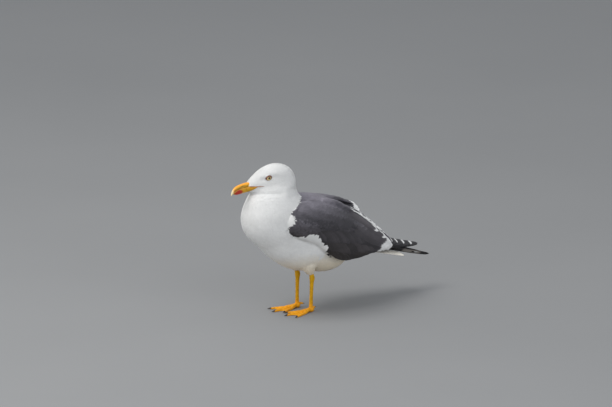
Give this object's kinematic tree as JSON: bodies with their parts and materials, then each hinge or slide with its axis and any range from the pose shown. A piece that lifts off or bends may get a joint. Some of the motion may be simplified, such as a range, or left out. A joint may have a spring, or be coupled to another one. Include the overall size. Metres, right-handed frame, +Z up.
{
  "type": "lesser black-backed gull, adult, standing",
  "caption": "Life-size adult gull standing at rest on both webbed feet, wings folded and crossed over the tail, head turned a little to its right.",
  "frame": {"origin": "on the ground, under the middle of the bird's length and breadth", "axes": "+Z up; -Y the way the body faces, so +Y runs from breast to tail; +X to the bird's left"},
  "size_m": [0.1368, 0.4656, 0.3045],
  "materials": {
    "white_feathers": "soft white feathers",
    "slate_feathers": "smooth slate-grey feathers",
    "black_feathers": "firm black flight feathers with white tips",
    "leg_skin": "scaly yellow skin",
    "bill_horn": "satin yellow horn with a red spot",
    "claw_horn": "satin dark horn",
    "eye": "wet, pale straw iris with a small dark pupil"
  },
  "bodies": {
    "root": {"head": "white_feathers", "neck": "white_feathers", "trunk": "white_feathers", "mantle": "slate_feathers", "bill_upper": "bill_horn", "bill_lower": "bill_horn", "tail": "white_feathers", "eye_left": "eye", "wing_left": "slate_feathers", "outer_feathers_left": "black_feathers", "shoulder_feathers_left": "slate_feathers", "thigh_left": "white_feathers", "shank_left": "leg_skin", "foot_left": "leg_skin", "claw_inner_left": "claw_horn", "claw_middle_left": "claw_horn", "claw_outer_left": "claw_horn", "claw_hind_left": "claw_horn", "eye_right": "eye", "wing_right": "slate_feathers", "outer_feathers_right": "black_feathers", "shoulder_feathers_right": "slate_feathers", "thigh_right": "white_feathers", "shank_right": "leg_skin", "foot_right": "leg_skin", "claw_inner_right": "claw_horn", "claw_middle_right": "claw_horn", "claw_outer_right": "claw_horn", "claw_hind_right": "claw_horn"}
  },
  "joints": []
}
